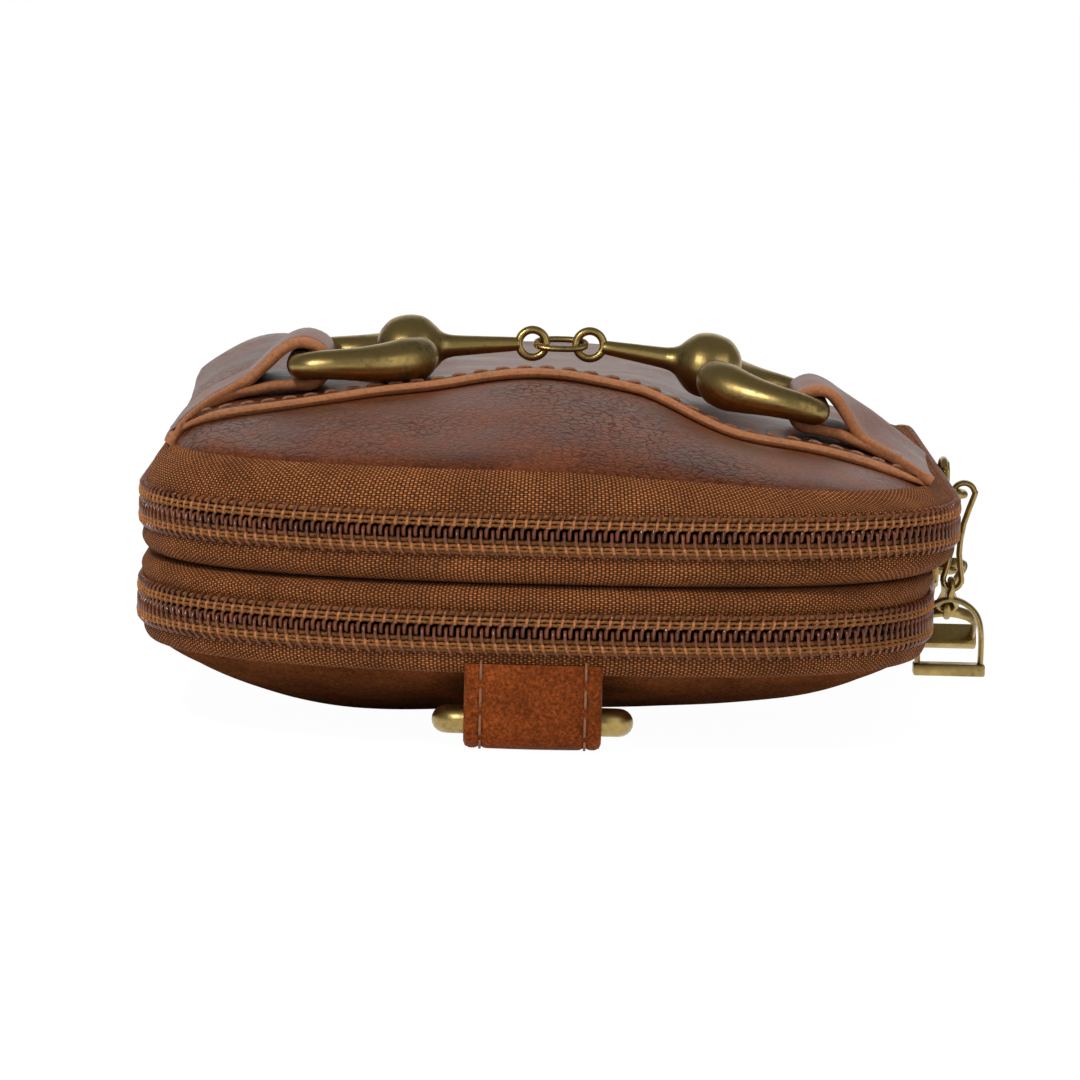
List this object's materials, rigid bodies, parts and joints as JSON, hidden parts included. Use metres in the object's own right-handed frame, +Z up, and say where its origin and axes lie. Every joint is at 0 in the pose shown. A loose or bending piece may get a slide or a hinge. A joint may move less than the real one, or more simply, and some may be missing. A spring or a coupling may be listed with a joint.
{
  "type": "crossbody phone bag",
  "caption": "Small leather crossbody phone bag lying on its back, with stacked zipped compartments, a front slip pocket under a horsebit ornament, and a strap ring in a leather tab.",
  "frame": {"origin": "middle of the back panel's flat resting face, where the bag lies on the table", "axes": "+X to the bag's right side, where the zip pulls are; +Y from the near end with the strap ring to the far end with the opening hinges; +Z up through the front panel"},
  "size_m": [0.1168, 0.1834, 0.0526],
  "materials": {
    "front_leather": "reddish brown pull-up leather with a fine crackled grain, satin with a soft sheen",
    "back_leather": "smoother, darker brown leather, satin",
    "trim_leather": "brown leather with tan painted edges and tone-on-tone stitching",
    "lining": "plain woven polyester lining, matt",
    "zip_tape": "ochre brown woven zip tape with a dull herringbone sheen",
    "zip_coil": "dark translucent brown nylon coil, glossy",
    "antique_brass": "antique brass plating with a dark patina in the hollows and worn bright edges"
  },
  "bodies": {
    "back": {"back_panel": "back_leather", "back_lining": "lining", "back_tape_lower": "zip_tape", "back_coil_lower": "zip_coil", "back_gusset": "front_leather", "strap_tab": "trim_leather"},
    "middle": {"divider": "lining", "middle_welt": "trim_leather", "back_tape_upper": "zip_tape", "back_coil_upper": "zip_coil", "front_tape_lower": "zip_tape", "front_coil_lower": "zip_coil", "back_stop_left": "antique_brass", "back_stop_right": "antique_brass", "front_stop_left": "antique_brass", "front_stop_right": "antique_brass", "front_gusset": "front_leather"},
    "front": {"front_panel": "front_leather", "front_lining": "lining", "front_tape_upper": "zip_tape", "front_coil_upper": "zip_coil", "front_pocket": "front_leather", "bit_strap_left": "trim_leather", "bit_strap_right": "trim_leather"},
    "front_slider": {"front_slider": "antique_brass"},
    "back_slider": {"back_slider": "antique_brass"},
    "front_link": {"front_pull_link": "antique_brass"},
    "back_link": {"back_pull_link": "antique_brass"},
    "front_pull": {"front_pull": "antique_brass"},
    "back_pull": {"back_pull": "antique_brass"},
    "strap_ring": {"strap_ring": "antique_brass"},
    "bit_ring_left": {"bit_ring_left": "antique_brass"},
    "bit_ring_right": {"bit_ring_right": "antique_brass"},
    "bit_cannon_left": {"bit_cannon_left": "antique_brass"},
    "bit_cannon_right": {"bit_cannon_right": "antique_brass"},
    "bit_link": {"bit_link": "antique_brass"}
  },
  "joints": [
    {"name": "back_open", "type": "hinge", "parent": "back", "child": "middle", "pos_m": [0, 0.0909, 0.0202], "axis": [-1, 0, 0], "range_deg": [0, 50]},
    {"name": "front_open", "type": "hinge", "parent": "middle", "child": "front", "pos_m": [0, 0.0885, 0.0338], "axis": [-1, 0, 0], "range_deg": [0, 60]},
    {"name": "front_slide", "type": "slide", "parent": "middle", "child": "front_slider", "axis": [0, 1, 0], "range_m": [-0.038, 0.005]},
    {"name": "back_slide", "type": "slide", "parent": "back", "child": "back_slider", "axis": [0, 1, 0], "range_m": [-0.006, 0.032]},
    {"name": "front_link_swing", "type": "hinge", "parent": "front_slider", "child": "front_link", "pos_m": [0.0578, -0.006, 0.0264], "axis": [0, -1, 0], "range_deg": [0, 70]},
    {"name": "front_pull_swing", "type": "hinge", "parent": "front_link", "child": "front_pull", "pos_m": [0.05639, -0.006, 0.01297], "axis": [1, 0, 0], "range_deg": [-40, 40]},
    {"name": "back_link_swing", "type": "hinge", "parent": "back_slider", "child": "back_link", "pos_m": [0.0578, 0.012, 0.0139], "axis": [0, -1, 0], "range_deg": [0, 60]},
    {"name": "back_pull_swing", "type": "hinge", "parent": "back_link", "child": "back_pull", "pos_m": [0.0578, 0.02369, 0.00715], "axis": [1, 0, 0], "range_deg": [-55, 15]},
    {"name": "strap_ring_swing", "type": "hinge", "parent": "back", "child": "strap_ring", "pos_m": [-0.0016, -0.08875, 0.00363], "axis": [-1, 0, 0], "range_deg": [0, 175]},
    {"name": "bit_left_ring_swing", "type": "hinge", "parent": "front", "child": "bit_ring_left", "pos_m": [-0.03362, -0.036, 0.04597], "axis": [0, -1, 0], "range_deg": [0, 3.5]},
    {"name": "bit_left_cannon_swing", "type": "hinge", "parent": "bit_ring_left", "child": "bit_cannon_left", "pos_m": [-0.01776, -0.036, 0.04806], "axis": [0, -1, 0], "range_deg": [-7.07, 0]},
    {"name": "bit_right_ring_swing", "type": "hinge", "parent": "front", "child": "bit_ring_right", "pos_m": [0.03762, -0.036, 0.04161], "axis": [0, 1, 0], "range_deg": [0, 3.5]},
    {"name": "bit_right_cannon_swing", "type": "hinge", "parent": "bit_ring_right", "child": "bit_cannon_right", "pos_m": [0.02225, -0.036, 0.04606], "axis": [0, 1, 0], "range_deg": [-6.86, 0]},
    {"name": "bit_link_swing", "type": "hinge", "parent": "bit_cannon_left", "child": "bit_link", "pos_m": [-0.00175, -0.036, 0.04806], "axis": [0, -1, 0], "range_deg": [0, 3.5]}
  ],
  "couplings": [
    {"joint": "bit_left_cannon_swing", "follows": "bit_left_ring_swing", "ratio": -1.991},
    {"joint": "bit_link_swing", "follows": "bit_left_ring_swing", "ratio": 0.991},
    {"joint": "bit_right_cannon_swing", "follows": "bit_right_ring_swing", "ratio": -1.9316}
  ]
}
